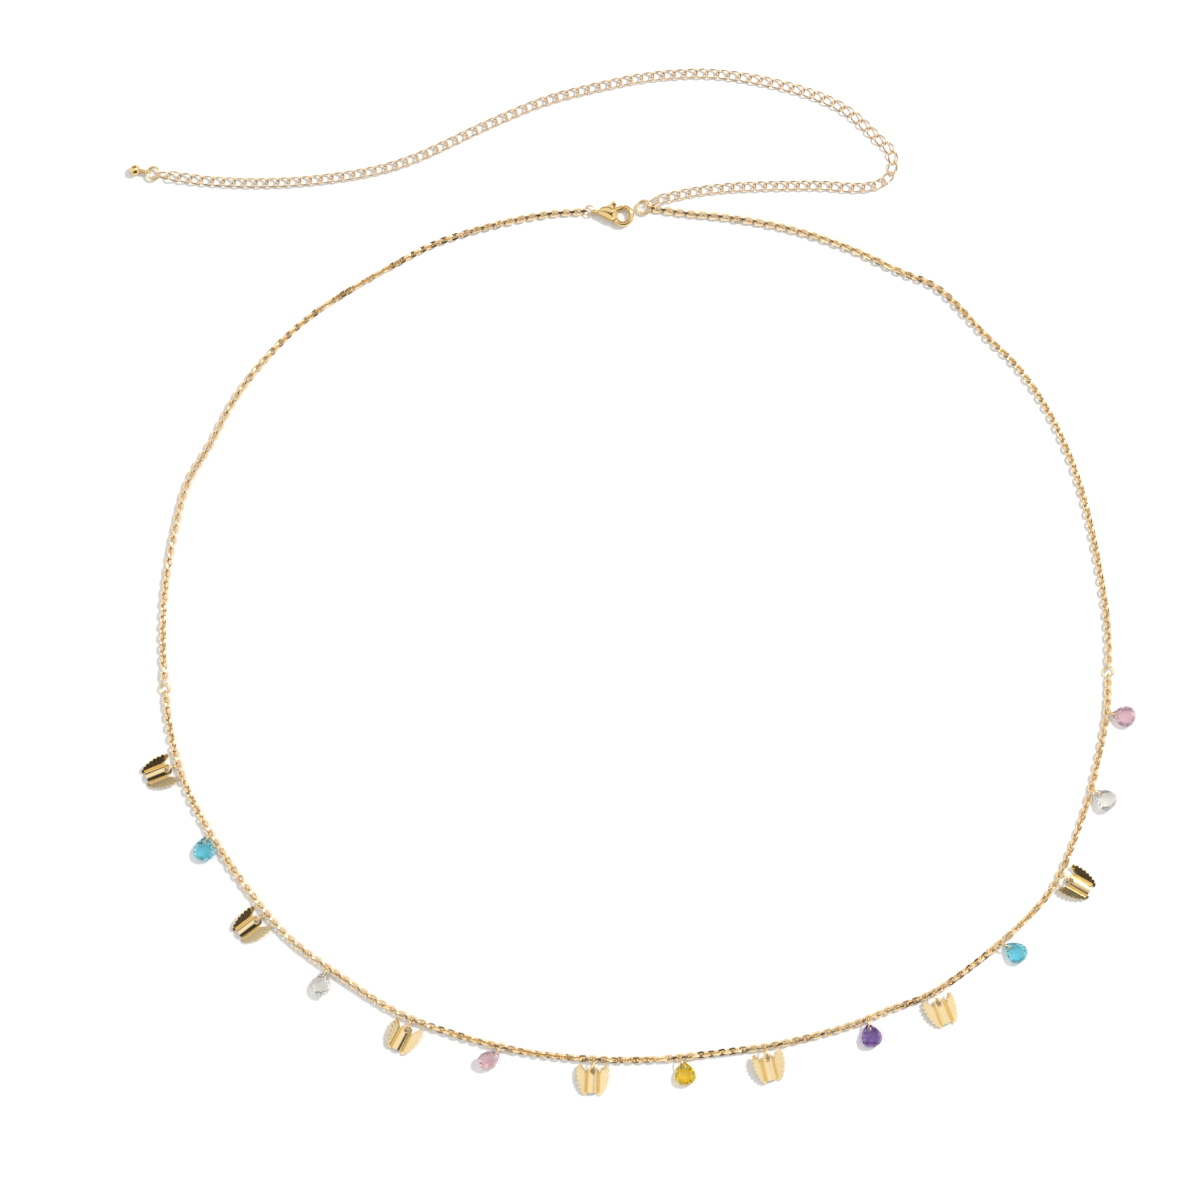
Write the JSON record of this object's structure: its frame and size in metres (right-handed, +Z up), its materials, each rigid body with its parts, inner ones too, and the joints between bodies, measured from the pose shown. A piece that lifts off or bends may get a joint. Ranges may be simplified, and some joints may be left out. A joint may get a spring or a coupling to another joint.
{
  "type": "waist chain",
  "caption": "Gold-tone waist chain with folded butterflies and faceted glass drops on rings, a lobster clasp and an extender chain that ends in a ball, laid flat.",
  "frame": {"origin": "middle of the laid-out chain, on the surface that it lies on", "axes": "+X to the right and +Y away from the front run, as the chain is seen from above with its clasp at the far side, +Z up from the surface"},
  "size_m": [0.2684, 0.2744, 0.0039],
  "materials": {
    "cable_gold": "polished gold-tone plating",
    "ring_gold": "polished gold-tone plating",
    "extender_gold": "warm, slightly pink gold-tone plating",
    "clasp_gold": "cast and polished gold-tone plating",
    "stamped_gold": "mirror-bright stamped sheet, gold-tone",
    "glass_turquoise": "faceted transparent glass",
    "glass_clear": "faceted transparent glass",
    "glass_pink": "faceted transparent glass",
    "glass_yellow": "faceted transparent glass",
    "glass_purple": "faceted transparent glass",
    "glass_lilac": "faceted transparent glass"
  },
  "bodies": {
    "chain": {"chain_rear_left": "cable_gold", "chain_front": "cable_gold", "chain_rear_right": "cable_gold", "extender_chain": "extender_gold", "clasp_ring": "ring_gold", "clasp_body": "clasp_gold", "side_ring_left": "ring_gold", "side_ring_right": "ring_gold", "end_ring": "ring_gold", "ball_ring": "ring_gold", "ball_drop": "clasp_gold", "butterfly_1": "stamped_gold", "butterfly_2": "stamped_gold", "butterfly_3": "stamped_gold", "butterfly_4": "stamped_gold", "butterfly_5": "stamped_gold", "butterfly_6": "stamped_gold", "butterfly_7": "stamped_gold", "butterfly_ring_1": "ring_gold", "butterfly_ring_2": "ring_gold", "butterfly_ring_3": "ring_gold", "butterfly_ring_4": "ring_gold", "butterfly_ring_5": "ring_gold", "butterfly_ring_6": "ring_gold", "butterfly_ring_7": "ring_gold", "glass_drop_1": "glass_turquoise", "glass_drop_2": "glass_clear", "glass_drop_3": "glass_pink", "glass_drop_4": "glass_yellow", "glass_drop_5": "glass_purple", "glass_drop_6": "glass_turquoise", "glass_drop_7": "glass_clear", "glass_drop_8": "glass_lilac", "glass_ring_1": "ring_gold", "glass_ring_2": "ring_gold", "glass_ring_3": "ring_gold", "glass_ring_4": "ring_gold", "glass_ring_5": "ring_gold", "glass_ring_6": "ring_gold", "glass_ring_7": "ring_gold", "glass_ring_8": "ring_gold"},
    "lever": {"clasp_lever": "clasp_gold"}
  },
  "joints": [
    {"name": "lever_hinge", "type": "hinge", "parent": "chain", "child": "lever", "pos_m": [-0.00803, 0.09844, 0.0013], "axis": [0, 0, 1], "range_deg": [-22, 0], "stiffness_Nm_per_rad": 0.004, "springref_deg": 22.92}
  ]
}
